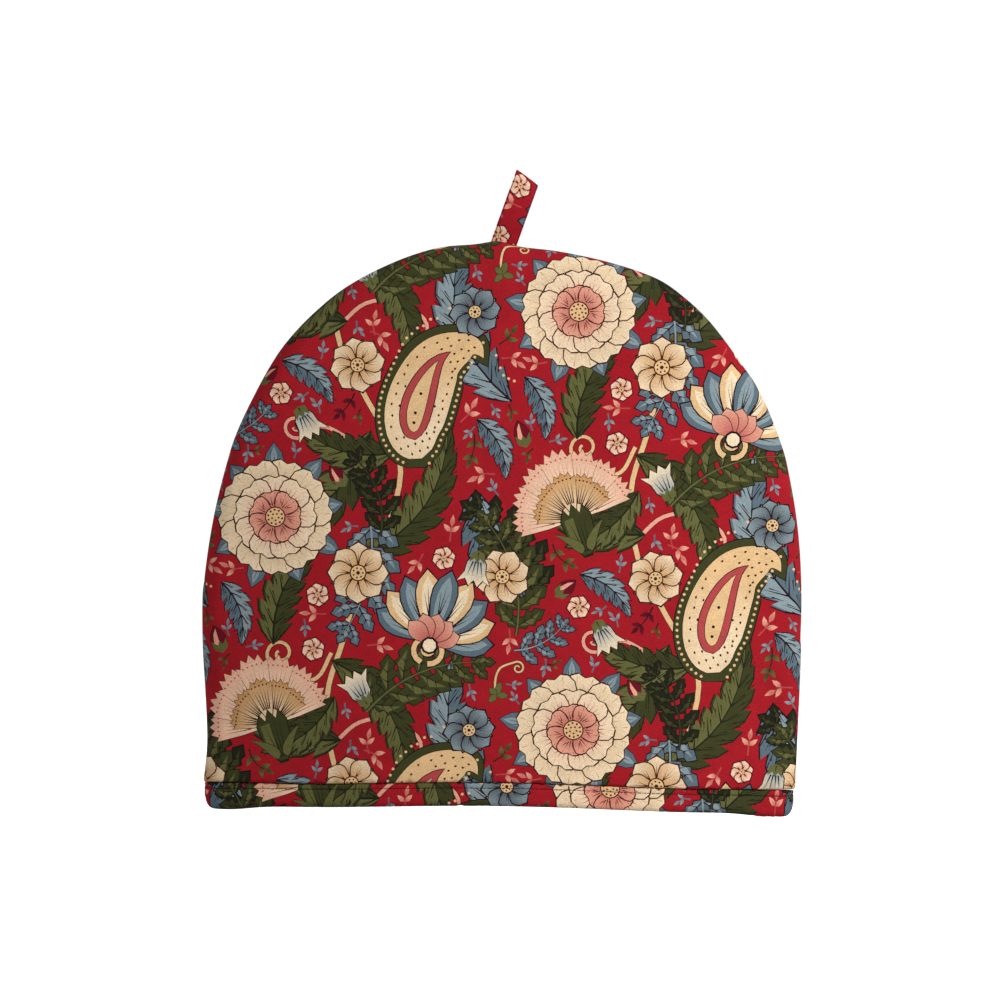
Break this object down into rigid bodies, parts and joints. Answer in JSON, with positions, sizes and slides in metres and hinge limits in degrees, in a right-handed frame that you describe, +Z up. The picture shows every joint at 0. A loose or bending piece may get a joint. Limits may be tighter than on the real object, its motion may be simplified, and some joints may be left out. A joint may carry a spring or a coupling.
{
  "type": "tea cosy",
  "caption": "Padded dome-shaped cotton tea cosy: two panels sewn round the dome, open at the base, with a bound hem and a hanging loop.",
  "frame": {"origin": "middle of the base, on the surface that the hem stands on", "axes": "+Z up through the dome, +X along the width, +Y towards the back panel"},
  "size_m": [0.3296, 0.0992, 0.3517],
  "materials": {
    "panel_cloth": "printed plain-weave cotton, crimson ground with a floral in olive, slate blue and cream",
    "band_cloth": "the same printed cotton, cut as a separate strip",
    "loop_cloth": "the same printed cotton, folded to a tape"
  },
  "bodies": {
    "root": {"front_panel": "panel_cloth", "back_panel": "panel_cloth", "hem_band": "band_cloth", "hanging_loop": "loop_cloth"}
  },
  "joints": []
}
